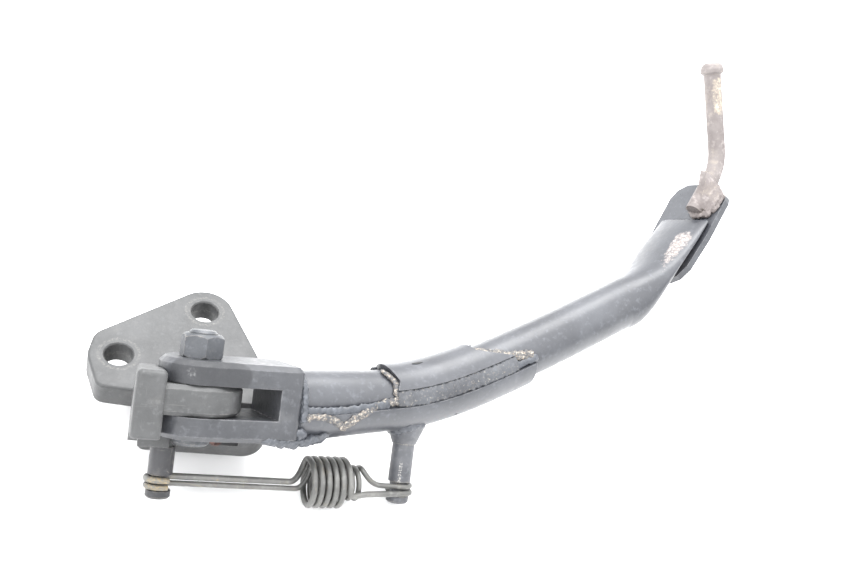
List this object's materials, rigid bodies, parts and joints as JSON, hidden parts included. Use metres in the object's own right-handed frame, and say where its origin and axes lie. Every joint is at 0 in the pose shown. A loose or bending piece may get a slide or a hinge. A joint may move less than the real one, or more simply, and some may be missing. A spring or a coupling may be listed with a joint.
{
  "type": "motorcycle side stand",
  "caption": "Motorcycle side stand: cast bolt-on bracket, forked tubular leg with half-shell reinforcement, flat foot with side peg, and nested return springs.",
  "frame": {"origin": "centre of the front bolt hole at the back face of the mounting plate", "axes": "+Z along the front bolt hole's axis, out of the mounting plate's outer face and away from the motorcycle frame; +X along the plate towards the leg, in the plane that holds the leg tube at rest at its pivot; +Y completes the right-handed set, towards the rear bolt hole's side"},
  "size_m": [0.2749, 0.1807, 0.1367],
  "materials": {
    "bracket_paint": "satin",
    "leg_paint": "semi_gloss",
    "pin_steel": "satin",
    "bush_bronze": "satin",
    "bolt_steel": "satin",
    "nylon": "satin",
    "peg_steel": "matte",
    "spring_steel": "satin"
  },
  "bodies": {
    "bracket": {"mount_bracket": "bracket_paint", "bracket_spring_pin": "pin_steel", "pivot_bush": "bush_bronze"},
    "leg": {"clevis_fork": "leg_paint", "pivot_bolt": "bolt_steel", "pivot_nut": "bolt_steel", "nut_lock_ring": "nylon", "upper_leg_tube": "leg_paint", "lower_leg_tube": "leg_paint", "upper_half_shell": "leg_paint", "lower_half_shell": "leg_paint", "foot_plate": "leg_paint", "foot_peg": "peg_steel", "leg_spring_pin": "pin_steel"},
    "springs": {"outer_spring": "spring_steel", "inner_spring": "spring_steel"}
  },
  "joints": [
    {"name": "leg_pivot", "type": "hinge", "parent": "bracket", "child": "leg", "pos_m": [0.0284, -0.0358, 0.0319], "axis": [0, 0.6833, 0.7302], "range_deg": [-90, 0], "deforming": ["outer_spring", "inner_spring"]},
    {"name": "spring_swing", "type": "hinge", "parent": "bracket", "child": "springs", "pos_m": [0.01942, -0.03128, 0.02767], "axis": [0, 0.6833, 0.7302], "range_deg": [-82, 0]}
  ],
  "couplings": [
    {"joint": "spring_swing", "follows": "leg_pivot", "ratio": 0.8977}
  ]
}
